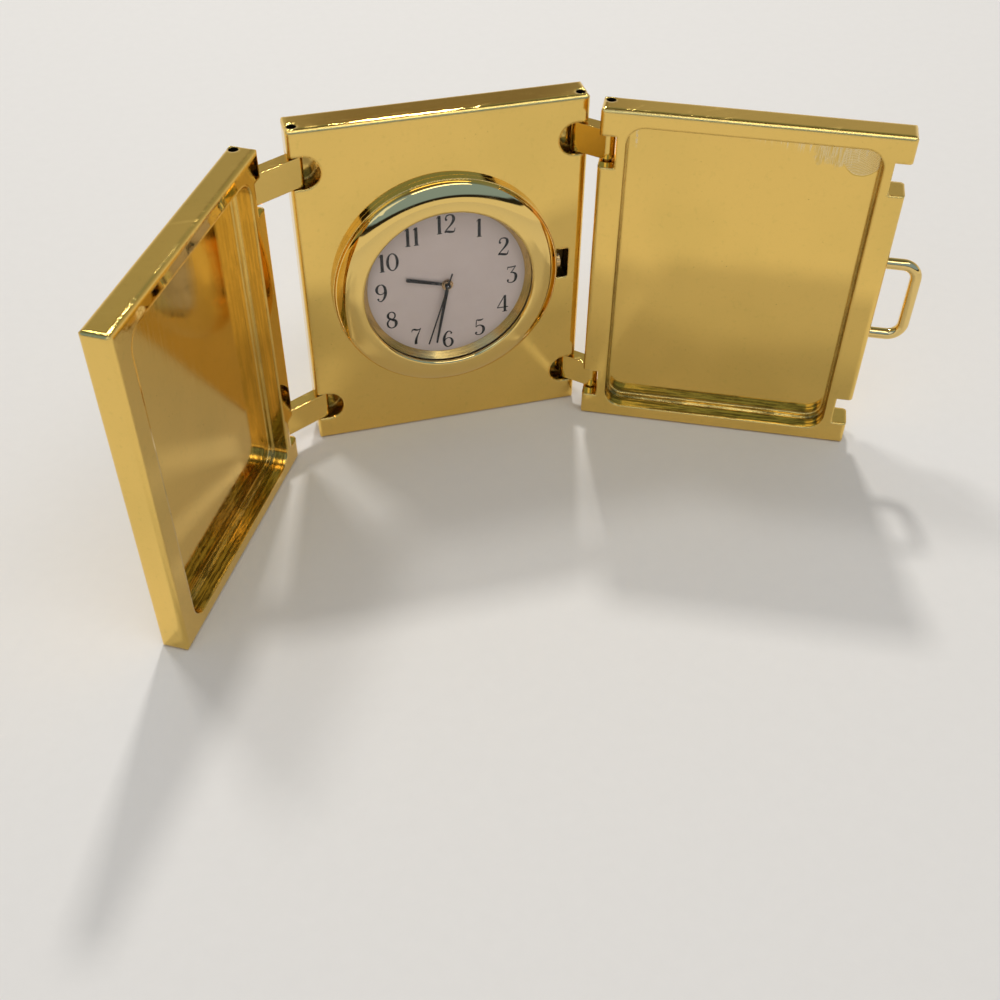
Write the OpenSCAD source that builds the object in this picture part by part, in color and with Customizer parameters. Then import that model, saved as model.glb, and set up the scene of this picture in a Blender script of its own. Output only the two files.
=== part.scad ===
// Folding brass clock: three upright panels joined by links, with a thin quartz clock head in the
// middle one. The origin is at the middle of the centre panel's lower face, the dial looks
// towards -Y, and the panels stand on Z = 0 as they do when the clock is set up.

/* [Panels] */
// Width of each of the three panels
panel_w = 46; // [45.8:0.1:60]
// Height of each panel
panel_h = 57; // [52:0.5:80]
// Thickness of the centre panel
centre_t = 5; // [4.8:0.1:7]
// Thickness of each wing
wing_t = 4.4; // [4.2:0.1:6]
// Rounding of the panels' outer edges
edge_r = 0.7; // [0.3:0.1:0.9]

/* [Wing recesses] */
// Depth of the recess in each wing
recess_depth = 3.3; // [3.1:0.05:3.5]
// Wall left beside the recess, at the hinge edge and the free edge
recess_side_wall = 4; // [3.6:0.1:4.2]
// Wall left above and below the recess
recess_end_wall = 2.5; // [1.5:0.1:5]
// Radius of the recess's corners
recess_corner_r = 3; // [1.5:0.1:5]
// Width of the fine step that the last milling pass left round the recess's floor
recess_step_w = 0.3; // [0.05:0.05:0.4]
// Height of that step above the floor
recess_step_h = 0.7; // [0.3:0.1:1]

/* [Links and pins] */
// Thickness of a link, which is also the width of its round ends
link_t = 2.2; // [2:0.05:2.3]
// Height of a link
link_h = 4.7; // [3.5:0.1:6]
// Distance from a panel's upper or lower face to the middle of a link
link_inset = 6.8; // [6.5:0.1:9]
// Free height above and below a link in its slot
link_play = 0.25; // [0.15:0.05:0.4]
// Diameter of the hinge pins
pin_d = 1.3; // [1:0.05:1.4]
// Free space all round a pin in a link's eye
pin_play = 0.05; // [0.03:0.01:0.09]
// Distance from a panel's side edge to its pins
pin_edge = 1.2; // [1.15:0.05:1.3]
// Distance from the centre panel's front face to its pins
pin_front = 1.5; // [1.3:0.05:1.6]
// Distance from a wing's outer face to its pins
pin_outer = 1.2; // [1.15:0.05:1.3]
// How far a pin's end lies below the panel's end face
pin_recess = 0.8; // [0.3:0.1:1.5]
// Length of pin held in the panel beyond a link
pin_bite = 3; // [2:0.1:5]
// Gap between two panels that are folded together
fold_gap = 0.4; // [0.35:0.05:0.8]
// Free space between a link and the panel round it
slot_play = 0.3; // [0.2:0.05:0.5]
// Length of the round-ended slots in the centre panel, from its side edge
centre_slot_len = 4.65; // [4.2:0.05:5.5]

/* [Handle] */
// Diameter of the handle's wire
handle_wire_d = 1.8; // [1.2:0.1:2.2]
// Distance between the middles of the handle's two legs
handle_span = 13; // [9:0.5:20]
// Reach of the handle beyond the wing's edge
handle_reach = 6; // [5:0.25:7]
// Bend radius of the handle, at the middle of the wire
handle_bend_r = 2.4; // [1.6:0.1:3.5]
// Length of each leg inside the wing
handle_bite = 2.2; // [1.5:0.1:2.6]

/* [Clock head] */
// Outer diameter of the bezel
bezel_d = 37; // [36:0.1:37.4]
// Height of the bezel in front of the centre panel
bezel_rise = 3.3; // [3.1:0.05:3.6]
// Height of the bezel's upright rim
bezel_rim_h = 1.1; // [0.9:0.1:1.4]
// Width of the fine step between the rim and the dome
bezel_step = 0.15; // [0.1:0.05:0.3]
// Radius of the dome's outer shoulder
shoulder_r = 1.1; // [0.8:0.1:1.4]
// Radius of the lip rolled in towards the crystal
lip_r = 0.5; // [0.3:0.1:0.5]
// Diameter of the opening in the bezel
opening_d = 27.6; // [26.8:0.1:27.8]
// Diameter of the round hole through the centre panel
head_hole_d = 31; // [30.8:0.1:32]
// Width of the ledge behind the lip that the crystal lies against
crystal_ledge = 0.7; // [0.5:0.05:0.8]
// Wall of the case band
case_wall = 0.5; // [0.4:0.05:0.6]
// Thickness of the case back
case_back_t = 0.5; // [0.4:0.05:0.7]
// Width of the notch in the case back's edge, for the case knife
pry_notch_w = 4.5; // [3:0.5:7]
// Depth of that notch
pry_notch_depth = 0.75; // [0.5:0.05:0.9]
// Thickness of the split ring that grips the head in the panel
fit_ring_t = 0.5; // [0.3:0.05:0.7]
// Width of the split ring
fit_ring_w = 1.4; // [1:0.1:2]
// Gap in the split ring
fit_ring_split = 1; // [0.6:0.1:2]
// Thickness of the crystal
crystal_t = 0.8; // [0.6:0.05:0.85]
// Distance from the bezel's front to the crystal
crystal_drop = 0.5; // [0.4:0.05:0.55]
// Height of the dial's face in front of the centre panel
dial_rise = 0.8; // [0.75:0.05:0.85]
// Thickness of the dial
dial_t = 0.4; // [0.3:0.05:0.5]
// Width of the brass ring round the dial
dial_ring_w = 1.4; // [1:0.1:1.8]

/* [Crown] */
// Diameter of the crown
crown_d = 2.4; // [2:0.1:2.5]
// Length of the crown
crown_len = 1.6; // [1.4:0.1:2.2]
// How far the crown reaches in under the bezel
crown_tuck = 0.6; // [0.4:0.1:0.8]
// Number of grooves round the crown
crown_grooves = 20; // [12:1:28]
// Travel of the crown when it is pulled out to set the hands
crown_travel = 0.6; // [0.4:0.05:0.7]
// Height of the square-cut recess that gives a fingernail room at the crown
crown_recess_h = 5.4; // [4.8:0.1:6.4]
// Free space beyond the crown when it is pulled out
crown_end_room = 0.6; // [0.4:0.05:1]
// Diameter of the stem
stem_d = 0.8; // [0.6:0.05:0.9]
// Depth of the stem's middle behind the centre panel's front face
stem_depth = 1.35; // [1.3:0.05:1.45]

/* [Movement] */
// Width of the movement
movement_w = 15.3; // [15:0.1:18]
// Length of the movement, along the stem
movement_l = 18.2; // [18:0.1:22]
// Thickness of the movement behind the dial
movement_t = 3.15; // [3.1:0.05:3.4]
// Thickness of the movement's main plate
main_plate_t = 1.7; // [1.6:0.05:1.75]
// Diameter of the battery
battery_d = 6.8; // [5.8:0.1:6.9]
// Thickness of the battery
battery_t = 1.4; // [1.1:0.05:1.42]
// Diameter of the coil
coil_d = 1.4; // [1:0.05:1.4]
// Length of the coil
coil_len = 7; // [5:0.1:8]
// Distance between the hands' axis and the minute wheel's axis
wheel_distance = 3.6; // [3.5:0.05:4]
// Teeth of the cannon pinion on the minute hand's tube
cannon_teeth = 12; // [10:2:14]
// Teeth of the minute wheel
minute_teeth = 36; // [30:2:42]
// Teeth of the small pinion on the minute wheel
minute_pinion_teeth = 10; // [8:2:12]
// Teeth of the hour wheel
hour_teeth = 40; // [36:4:48]

/* [Hands] */
// Length of the hour hand, from the hands' axis
hour_len = 7; // [5:0.1:9]
// Length of the minute hand, from the hands' axis
minute_len = 11; // [9:0.1:11.8]
// Length of the seconds hand, from the hands' axis
second_len = 11.2; // [9:0.1:12]
// Length of the seconds hand's tail
second_tail = 2.4; // [1.5:0.1:4]
// Thickness of the hour and minute hands
hand_t = 0.15; // [0.1:0.01:0.16]
// Greatest width of the hour and minute hands
hand_w = 0.6; // [0.4:0.05:0.8]
// Width of the hour hand at its boss
hour_root_w = 0.45; // [0.3:0.05:0.8]
// Width of the minute hand at its tip
minute_tip_w = 0.3; // [0.2:0.05:0.6]
// Width of the seconds hand
second_w = 0.22; // [0.15:0.01:0.3]
// Thickness of the seconds hand
second_t = 0.1; // [0.08:0.01:0.12]
// Diameter of the hour hand's boss
hour_boss_d = 1.9; // [1.7:0.1:2.4]
// Diameter of the minute hand's boss
minute_boss_d = 1.5; // [1.1:0.1:1.7]
// Diameter of the seconds hand's boss
second_boss_d = 1; // [0.6:0.1:1.4]
// Hour that the clock shows
shown_hour = 9; // [0:1:11]
// Minute that the clock shows
shown_minute = 31.8; // [0:0.1:59.9]
// Second that the clock shows
shown_second = 33; // [0:1:59]

/* [Set-up angles] */
// Turn of the left links towards the front, from straight out to the side
left_link_turn = 26.6; // [0:0.1:60]
// Turn of the left wing towards the front, from in line with its links
left_wing_turn = 33.3; // [-30:0.1:60]
// Turn of the right links towards the front, from straight out to the side
right_link_turn = 43.9; // [0:0.1:60]
// Turn of the right wing towards the front, from in line with its links
right_wing_turn = -18.8; // [-30:0.1:60]

/* [Hidden] */
$fn = 96;

// How far a cut runs past the face that it opens
cut = 1;
// Free space between fitted pieces that don't move on each other
fit = 0.02;
// Free space between small pieces that turn or slide past each other
run_gap = 0.1;

brass = "#c9a045";
bright_brass = "#d9b65a";
silver = "#c8c4c0";
steel = "#a9abad";
ink = "#1a1716";
nylon = "#e8e4da";
copper = "#b8703c";

// Panels, links and pins
front_y = -centre_t / 2;
link_r = link_t / 2;
pin_r = pin_d / 2;
slot_h = link_h + 2 * link_play;
link_heights = [link_inset, panel_h - link_inset];
notch_len = pin_edge + link_r + slot_play;
centre_slot_depth = pin_front + link_r + slot_play;
centre_pin_x = panel_w / 2 - pin_edge;
centre_pin_y = front_y + pin_front;
wing_middle_y = pin_outer - wing_t / 2;
wing_inner_y = pin_outer - wing_t;
pin_mouth = 0.2;
pin_reach = link_inset + slot_h / 2 + pin_bite;
// A link is as long as the layers that it reaches across when all is folded
right_link_len = pin_front + fold_gap + wing_t - pin_outer;
left_link_len = right_link_len + wing_t + fold_gap;

// Clock head. Heights are measured from the centre panel's front face, towards the front.
head_z = panel_h / 2;
bezel_r = bezel_d / 2;
opening_r = opening_d / 2;
crystal_front = bezel_rise - crystal_drop;
crystal_back = crystal_front - crystal_t;
dial_back = dial_rise - dial_t;
gasket_w = 0.25;
seat_r = opening_r + crystal_ledge;
crystal_r = seat_r - gasket_w - fit;
dial_play = 0.1;
ring_play = 0.1;
head_hole_r = head_hole_d / 2;
case_r = head_hole_r - fit_ring_t;
case_bore_r = case_r - case_wall;
dial_r = case_bore_r - dial_play;
case_end = -centre_t + 0.1;
case_floor = case_end + case_back_t;
snap_rim_h = 0.5;

// Crown and stem
stem_r = stem_d / 2;
crown_start = bezel_r - crown_tuck;
crown_room = 0.4;
crown_recess_x = crown_start - crown_room;
crown_recess_len = crown_room + crown_len + crown_travel + crown_end_room;
crown_recess_corner_r = 0.3;
crown_recess_depth = stem_depth + crown_d / 2 + crown_room;
stem_channel_w = 2 * stem_d;
stem_channel_depth = stem_depth + stem_r + crown_room;
crown_groove_w = 0.12;
stem_inner_x = 3.2;
groove_x = 5.4;
groove_w = 0.4;
groove_r = stem_r / 2;
lever_t = groove_w - 2 * fit;
lever_half_w = stem_r + 0.5;
lever_half_h = stem_r + 0.2;

// Movement
plate_top = dial_back - fit;
plate_back = plate_top - main_plate_t;
bridge_gap = 0.05;
movement_back = dial_back - movement_t;
battery_edge = 0.95;
battery_wall = 0.2;
battery_reach = movement_l / 2 - battery_d / 2 - battery_wall;
battery_y = movement_w / 2 - battery_d / 2 - battery_edge;
battery_x = -sqrt(battery_reach * battery_reach - battery_y * battery_y);
battery_step = 0.2;
coil_y = -5.8;
rotor_x = 1.5;
rotor_y = -3.4;
rotor_hole_r = 0.8;
stator_t = 0.5;
stator_w = 2.6;
motion_depth = 0.85;
arbor_wheel_r = 1.8;
arbor_wheel_t = 0.15;
arbor_cavity = 0.36;
clamp_w = 1.6;
clamp_t = 0.15;
clamp_lap = 0.5;

// Motion work: the levels of its two gear pairs, and the tubes that carry the hands
upper_gear = dial_back - 0.3;
lower_gear = dial_back - 0.7;
gear_t = 0.2;
lower_gear_t = 0.25;
pinion_t = upper_gear + gear_t - lower_gear;
post_r = 0.2;
arbor_r = 0.1;
cannon_bore_r = arbor_r + 0.06;
cannon_r = 0.32;
hour_bore_r = cannon_r + 0.08;
hour_tube_r = 0.62;
dial_hole_r = hour_tube_r + 0.15;
// The hands share the room that their own thickness leaves between the dial and the crystal
hand_room = crystal_back - dial_rise - 2 * hand_t - second_t;
hour_share = 0.3125;
minute_share = 0.175;
second_share = 0.15;
hour_level = dial_rise + hour_share * hand_room;
minute_level = hour_level + hand_t + minute_share * hand_room;
second_level = minute_level + hand_t + second_share * hand_room;
hour_tube_h = hour_level + hand_t - upper_gear;
cannon_h = minute_level + hand_t - lower_gear;
lower_module = 2 * wheel_distance / (cannon_teeth + minute_teeth);
upper_module = 2 * wheel_distance / (minute_pinion_teeth + hour_teeth);

// Clock angles, clockwise from twelve
minute_angle = 6 * shown_minute;
hour_angle = 30 * shown_hour + shown_minute / 2;
second_angle = 6 * shown_second;

// Flat shapes

module rounded_rect(w, h, r) {
    translate([r, 0]) square([w - 2 * r, h]);
    translate([0, r]) square([w, h - 2 * r]);
    for (x = [r, w - r], y = [r, h - r])
        translate([x, y]) circle(r);
}

module ring(outer, inner, low, high) {
    translate([0, 0, low]) difference() {
        cylinder(r = outer, h = high - low);
        translate([0, 0, -cut]) cylinder(r = inner, h = high - low + 2 * cut);
    }
}

// A block from the origin, with all twelve edges rounded
module soft_block(w, t, h, r) {
    intersection() {
        linear_extrude(h) rounded_rect(w, t, r);
        translate([0, t, 0]) rotate([90, 0, 0]) linear_extrude(t) rounded_rect(w, h, r);
        rotate([90, 0, 90]) linear_extrude(w) rounded_rect(t, h, r);
    }
}

// Places

// Mirrors the right-hand side's pieces to the left-hand side
module on_side(side) {
    mirror([side < 0 ? 1 : 0, 0, 0]) children();
}

// The frame of a side's links, at the centre panel's pins
module at_links(side) {
    on_side(side)
        translate([centre_pin_x, centre_pin_y, 0])
            rotate([0, 0, -link_turn(side)])
                children();
}

// The frame of a wing, at its own pins, with its outer face towards +Y
module at_wing(side) {
    at_links(side)
        translate([link_len(side), 0, 0])
            rotate([0, 0, -wing_turn(side)])
                children();
}

// The clock head's frame: its Z looks out of the dial, from the centre panel's front face
module at_head() {
    translate([0, front_y, head_z]) rotate([90, 0, 0]) children();
}

// Turns a piece to a clock angle
module at_clock(angle) {
    rotate([0, 0, -angle]) children();
}

// Lays a piece that stands along Z out along the stem
module along_stem() {
    translate([0, 0, -stem_depth]) rotate([0, 90, 0]) children();
}

function link_turn(side) = side > 0 ? right_link_turn : left_link_turn;
function wing_turn(side) = side > 0 ? right_wing_turn : left_wing_turn;
function link_len(side) = side > 0 ? right_link_len : left_link_len;

// Hinges

module pin_hole() {
    translate([0, 0, -cut]) cylinder(r = pin_r + fit, h = pin_reach + cut);
    translate([0, 0, -pin_mouth]) cylinder(r1 = pin_r + 2 * pin_mouth, r2 = pin_r + fit, h = 2 * pin_mouth);
}

// The holes for the two pins of one hinge axis, from the panel's lower and upper faces
module pin_holes() {
    pin_hole();
    translate([0, 0, panel_h]) mirror([0, 0, 1]) pin_hole();
}

module pin() {
    translate([0, 0, pin_recess]) cylinder(r = pin_r, h = pin_reach - pin_recess);
}

module pins() {
    pin();
    translate([0, 0, panel_h]) mirror([0, 0, 1]) pin();
}

module link(length) {
    difference() {
        union() {
            for (x = [0, length]) translate([x, 0, 0]) cylinder(r = link_r, h = link_h, center = true);
            translate([length / 2, 0, 0]) cube([length, link_t, link_h], center = true);
        }
        for (x = [0, length])
            translate([x, 0, 0]) cylinder(r = pin_r + pin_play, h = link_h + 2 * cut, center = true);
    }
}

module side_link(side, level) {
    color(brass) at_links(side) translate([0, 0, link_heights[level]]) link(link_len(side));
}

// A notch that is square at its inner end, open to the edge at the origin and through the wing
module notch(z) {
    translate([-cut, wing_inner_y - cut, z - slot_h / 2]) cube([notch_len + cut, wing_t + 2 * cut, slot_h]);
}

// A slot with a round inner end, cut from the centre panel's front face, in from its right edge
module centre_slot(z) {
    end_r = slot_h / 2;
    end_x = panel_w / 2 - centre_slot_len + end_r;
    translate([end_x, front_y - cut, z - end_r])
        cube([panel_w / 2 - end_x + cut, centre_slot_depth + cut, slot_h]);
    translate([end_x, front_y + centre_slot_depth, z])
        rotate([90, 0, 0]) cylinder(r = end_r, h = centre_slot_depth + cut);
}

// Panels

module centre_panel() {
    color(brass) difference() {
        translate([-panel_w / 2, front_y, 0]) soft_block(panel_w, centre_t, panel_h, edge_r);
        at_head() translate([0, 0, -centre_t - cut]) cylinder(r = head_hole_r, h = centre_t + 2 * cut);
        at_head() crown_space();
        for (side = [-1, 1]) on_side(side) {
            for (z = link_heights) centre_slot(z);
            translate([centre_pin_x, centre_pin_y, 0]) pin_holes();
        }
    }
}

// The crown's recess, and the channel that lets the stem in from the front
module crown_space() {
    translate([crown_recess_x, -crown_recess_h / 2, -crown_recess_depth])
        linear_extrude(crown_recess_depth + cut)
            rounded_rect(crown_recess_len, crown_recess_h, crown_recess_corner_r);
    translate([case_r, -stem_channel_w / 2, -stem_channel_depth])
        cube([crown_recess_x - case_r, stem_channel_w, stem_channel_depth + cut]);
}

// A pocket in the wing's inner face, smaller by inset all round
module recess(depth, inset) {
    side = recess_side_wall + inset;
    end = recess_end_wall + inset;
    translate([side - pin_edge, wing_inner_y + depth, end])
        rotate([90, 0, 0])
            linear_extrude(depth + cut)
                rounded_rect(panel_w - 2 * side, panel_h - 2 * end, recess_corner_r - inset);
}

module wing_plate() {
    difference() {
        translate([-pin_edge, wing_inner_y, 0]) soft_block(panel_w, wing_t, panel_h, edge_r);
        recess(recess_depth - recess_step_h, 0);
        recess(recess_depth, recess_step_w);
        pin_holes();
        translate([-pin_edge, 0, 0]) for (z = link_heights) notch(z);
    }
}

module left_wing() {
    color(brass) at_wing(-1) wing_plate();
}

module right_wing() {
    color(brass) at_wing(1) difference() {
        wing_plate();
        translate([panel_w - pin_edge, 0, 0]) mirror([1, 0, 0]) for (z = link_heights) notch(z);
        handle_legs(handle_wire_d / 2 + fit, cut);
    }
}

// Handle

// The handle's legs, longer by more at the end that is outside the wing
module handle_legs(r, more) {
    wing_edge = panel_w - pin_edge;
    for (side = [-1, 1])
        translate([wing_edge - handle_bite, wing_middle_y, head_z + side * handle_span / 2])
            rotate([0, 90, 0]) cylinder(r = r, h = handle_bite + more);
}

module handle_bend() {
    rotate([90, 0, 0])
        rotate_extrude(angle = 90) translate([handle_bend_r, 0]) circle(d = handle_wire_d);
}

module carry_handle() {
    leg_out = handle_reach - handle_wire_d / 2 - handle_bend_r;
    bend_x = panel_w - pin_edge + leg_out;
    bar_len = handle_span - 2 * handle_bend_r;
    color(bright_brass) at_wing(1) {
        handle_legs(handle_wire_d / 2, leg_out);
        translate([bend_x, wing_middle_y, head_z]) {
            for (side = [0, 1])
                mirror([0, 0, side]) translate([0, 0, bar_len / 2]) handle_bend();
            translate([handle_bend_r, 0, -bar_len / 2]) cylinder(d = handle_wire_d, h = bar_len);
        }
    }
}

// Links and pins, each in its place

module left_lower_link() { side_link(-1, 0); }
module left_upper_link() { side_link(-1, 1); }
module right_lower_link() { side_link(1, 0); }
module right_upper_link() { side_link(1, 1); }

module centre_pins(side) {
    color(steel) on_side(side) translate([centre_pin_x, centre_pin_y, 0]) pins();
}

module centre_left_pins() { centre_pins(-1); }
module centre_right_pins() { centre_pins(1); }
module left_wing_pins() { color(steel) at_wing(-1) pins(); }
module right_wing_pins() { color(steel) at_wing(1) pins(); }

// Clock head

// Half of the bezel's section: upright rim, fine step, domed shoulder, rolled lip, seats inside
module bezel_section() {
    wall = case_r + fit;
    dome_r = bezel_r - bezel_step;
    dome_low = bezel_rim_h + bezel_step;
    dome_rise = bezel_rise - dome_low;
    crest_r = opening_r + lip_r;
    shoulder = [dome_r - shoulder_r, dome_low];
    // The dome's arc lies flat at the crest and runs smoothly into the shoulder's arc
    reach = shoulder[0] - crest_r;
    arc_r = (reach * reach + dome_rise * dome_rise - shoulder_r * shoulder_r) / (2 * (dome_rise - shoulder_r));
    arc_middle = [crest_r, bezel_rise - arc_r];
    way_out = (shoulder - arc_middle) / (arc_r - shoulder_r);
    difference() {
        union() {
            translate([wall, 0]) square([bezel_r - wall, bezel_rim_h]);
            translate([opening_r, 0]) square([dome_r - opening_r, dome_low]);
            translate([opening_r, 0]) square([lip_r, bezel_rise - lip_r]);
            translate([crest_r, bezel_rise - lip_r]) circle(r = lip_r);
            translate(shoulder) circle(r = shoulder_r);
            intersection() {
                translate(arc_middle) circle(r = arc_r, $fn = 360);
                polygon([
                    [crest_r, 0], [shoulder[0], 0], shoulder,
                    arc_middle + (arc_r + cut) * way_out, [crest_r, bezel_rise + cut]
                ]);
            }
        }
        translate([0, -cut]) square([wall, cut + dial_rise]);
        square([seat_r, crystal_front]);
    }
}

module bezel() {
    color(bright_brass) at_head() rotate_extrude() bezel_section();
}

module crystal() {
    color("#dfe8ea", 0.3) at_head() translate([0, 0, crystal_back]) cylinder(r = crystal_r, h = crystal_t);
}

module crystal_gasket() {
    color(nylon) at_head() ring(crystal_r + gasket_w, crystal_r, crystal_back, crystal_front);
}

// The brass wall between the dial and the crystal, with its inner face sloped outwards
module dial_ring() {
    color(bright_brass) at_head() rotate_extrude() polygon([
        [seat_r - ring_play, dial_rise], [seat_r - ring_play, crystal_back],
        [opening_r, crystal_back], [seat_r - ring_play - dial_ring_w, dial_rise]
    ]);
}

module dial() {
    color(silver) at_head() ring(dial_r, dial_hole_r, dial_back, dial_rise);
}

// The case band rises inside the bezel to the dial's face, and has a hole for the stem
module case_band() {
    color(brass) at_head() difference() {
        ring(case_r, case_bore_r, case_floor, dial_rise - fit);
        along_stem() cylinder(r = stem_r + run_gap, h = case_r + cut);
    }
}

module case_back() {
    color(brass) at_head() difference() {
        union() {
            ring(case_r, 0, case_end, case_floor);
            ring(case_bore_r - fit, case_bore_r - case_wall, case_floor - fit, case_floor + snap_rim_h);
        }
        translate([0, -case_r, case_end])
            cube([pry_notch_w, 2 * pry_notch_depth, case_back_t], center = true);
    }
}

// The split ring that grips the head in the panel's hole
module fit_ring() {
    ring_low = -stem_channel_depth - run_gap - fit_ring_w;
    color(nylon) at_head() difference() {
        ring(head_hole_r - fit, case_r + fit, ring_low, ring_low + fit_ring_w);
        translate([-fit_ring_split / 2, 0, ring_low - cut])
            cube([fit_ring_split, 2 * head_hole_r, fit_ring_w + 2 * cut]);
    }
}

// Movement

// The movement's outline, grown by more all round
module movement_outline(more) {
    intersection() {
        circle(r = movement_l / 2 + more);
        square([movement_l + 2 * more, movement_w + 2 * more], center = true);
    }
}

module movement_holder() {
    color(nylon) at_head() difference() {
        ring(case_bore_r - fit, 0, case_floor + snap_rim_h + fit, dial_back - fit);
        translate([0, 0, case_floor]) linear_extrude(centre_t + cut) movement_outline(fit);
        along_stem() cylinder(r = stem_r + run_gap, h = case_r);
    }
}

// The space round the stem and the setting lever inside the movement
module stem_space() {
    lever_space = groove_w + crown_travel + 2 * run_gap;
    along_stem() translate([0, 0, stem_inner_x - run_gap]) cylinder(r = stem_r + run_gap, h = movement_l);
    translate([groove_x - run_gap, -lever_half_w - run_gap, -stem_depth - lever_half_h - run_gap])
        cube([lever_space, 2 * (lever_half_w + run_gap), 2 * (lever_half_h + run_gap)]);
}

module main_plate() {
    motion_floor = plate_top - motion_depth;
    color(steel) at_head() difference() {
        union() {
            difference() {
                translate([0, 0, plate_back]) linear_extrude(main_plate_t) movement_outline(0);
                translate([0, 0, motion_floor])
                    cylinder(r = gear_tip(hour_teeth, upper_module) + run_gap, h = motion_depth + cut);
                translate([wheel_distance, 0, motion_floor])
                    cylinder(r = gear_tip(minute_teeth, lower_module) + run_gap, h = motion_depth + cut);
            }
            translate([wheel_distance, 0, motion_floor - fit])
                cylinder(r = post_r, h = motion_depth - run_gap);
        }
        translate([0, 0, plate_back - cut]) cylinder(r = cannon_r + run_gap, h = main_plate_t + 2 * cut);
        translate([0, 0, plate_back - cut]) cylinder(r = arbor_wheel_r + run_gap, h = arbor_cavity + cut);
        stem_space();
    }
}

// The train bridge covers the back of the movement and holds the battery, coil and stator
module train_bridge() {
    bridge_top = plate_back - bridge_gap;
    color(nylon) at_head() difference() {
        translate([0, 0, movement_back]) linear_extrude(bridge_top - movement_back) movement_outline(0);
        translate([battery_x, battery_y, movement_back - cut])
            cylinder(d = battery_d + 2 * run_gap, h = battery_t + 2 * cut);
        translate([-coil_len / 2 - run_gap, coil_y - coil_d / 2 - run_gap, movement_back - cut])
            cube([coil_len + 2 * run_gap, coil_d + 2 * run_gap, coil_d + 2 * cut]);
        translate([0, 0, bridge_top - stator_t - fit]) linear_extrude(stator_t + cut) stator_outline(fit);
        stem_space();
    }
}

module battery() {
    color(silver) at_head() translate([battery_x, battery_y, movement_back]) {
        cylinder(d = battery_d, h = battery_t - battery_step);
        cylinder(d = battery_d - 6 * battery_step, h = battery_t);
    }
}

// The leaf that holds the battery down, with its foot on the bridge
module battery_clamp() {
    foot_y = battery_y - battery_d / 2 - run_gap - clamp_lap;
    color(steel) at_head()
        translate([battery_x - clamp_w / 2, foot_y, movement_back - fit - clamp_t])
            cube([clamp_w, battery_y - foot_y, clamp_t]);
}

module coil() {
    coil_h = movement_back + coil_d / 2;
    color(copper) at_head()
        translate([-coil_len / 2, coil_y, coil_h]) rotate([0, 90, 0]) cylinder(d = coil_d, h = coil_len);
}

module stator_outline(more) {
    difference() {
        translate([rotor_x - coil_len, rotor_y - stator_w / 2 - more])
            translate([-more, 0]) square([coil_len + 2 * more + stator_w / 2, stator_w + 2 * more]);
        translate([rotor_x, rotor_y]) circle(r = rotor_hole_r - more);
    }
}

module stator() {
    color(steel) at_head() translate([0, 0, plate_back - bridge_gap - stator_t])
        linear_extrude(stator_t - fit) stator_outline(0);
}

// Motion work and hands

function gear_tip(teeth, mod) = mod * (teeth / 2 + 0.8);
function gear_root(teeth, mod) = mod * (teeth / 2 - 1.15);

// A gear with straight-sided teeth, turned by phase degrees
module gear(teeth, mod, t, phase) {
    foot = gear_root(teeth, mod) - mod / 2;
    tip = gear_tip(teeth, mod);
    foot_half = 0.28 * PI * mod;
    tip_half = 0.1 * PI * mod;
    cylinder(r = gear_root(teeth, mod), h = t);
    linear_extrude(t) for (i = [0 : teeth - 1])
        rotate(phase + i * 360 / teeth)
            polygon([[foot, -foot_half], [tip, -tip_half], [tip, tip_half], [foot, foot_half]]);
}

module hour_wheel() {
    color(brass) at_head() difference() {
        union() {
            translate([0, 0, upper_gear]) gear(hour_teeth, upper_module, gear_t, 0);
            translate([0, 0, upper_gear]) cylinder(r = hour_tube_r, h = hour_tube_h);
        }
        translate([0, 0, upper_gear - cut]) cylinder(r = hour_bore_r, h = hour_tube_h + 2 * cut);
    }
}

module cannon_pinion() {
    color(brass) at_head() difference() {
        union() {
            translate([0, 0, lower_gear]) gear(cannon_teeth, lower_module, lower_gear_t, 0);
            translate([0, 0, lower_gear]) cylinder(r = cannon_r, h = cannon_h);
        }
        translate([0, 0, lower_gear - cut]) cylinder(r = cannon_bore_r, h = cannon_h + 2 * cut);
    }
}

// The minute wheel with the small pinion that drives the hour wheel, on its post
module minute_wheel() {
    color(brass) at_head() translate([wheel_distance, 0, 0]) difference() {
        union() {
            translate([0, 0, lower_gear]) gear(minute_teeth, lower_module, lower_gear_t, 180 / minute_teeth);
            translate([0, 0, lower_gear])
                gear(minute_pinion_teeth, upper_module, pinion_t, 180 / minute_pinion_teeth);
        }
        translate([0, 0, lower_gear - cut]) cylinder(r = post_r + run_gap / 2, h = pinion_t + 2 * cut);
    }
}

module second_arbor() {
    wheel_back = plate_back + arbor_cavity - run_gap - arbor_wheel_t;
    color(steel) at_head() {
        translate([0, 0, wheel_back]) cylinder(r = arbor_wheel_r, h = arbor_wheel_t);
        translate([0, 0, wheel_back]) cylinder(r = arbor_r, h = second_level + second_t - wheel_back);
    }
}

// A straight hand that points to twelve, with a round tip and a round boss pressed on a tube
module hand(length, root_w, tip_w, boss_r, bore_r) {
    tip_y = length - tip_w / 2;
    difference() {
        union() {
            cylinder(r = boss_r, h = hand_t);
            linear_extrude(hand_t)
                polygon([[-root_w / 2, 0], [-tip_w / 2, tip_y], [tip_w / 2, tip_y], [root_w / 2, 0]]);
            translate([0, tip_y, 0]) cylinder(d = tip_w, h = hand_t);
        }
        translate([0, 0, -cut]) cylinder(r = bore_r, h = hand_t + 2 * cut);
    }
}

module hour_hand() {
    color(ink) at_head() translate([0, 0, hour_level]) at_clock(hour_angle)
        hand(hour_len, hour_root_w, hand_w, hour_boss_d / 2, hour_tube_r + fit);
}

module minute_hand() {
    color(ink) at_head() translate([0, 0, minute_level]) at_clock(minute_angle)
        hand(minute_len, hand_w, minute_tip_w, minute_boss_d / 2, cannon_r + fit);
}

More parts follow.
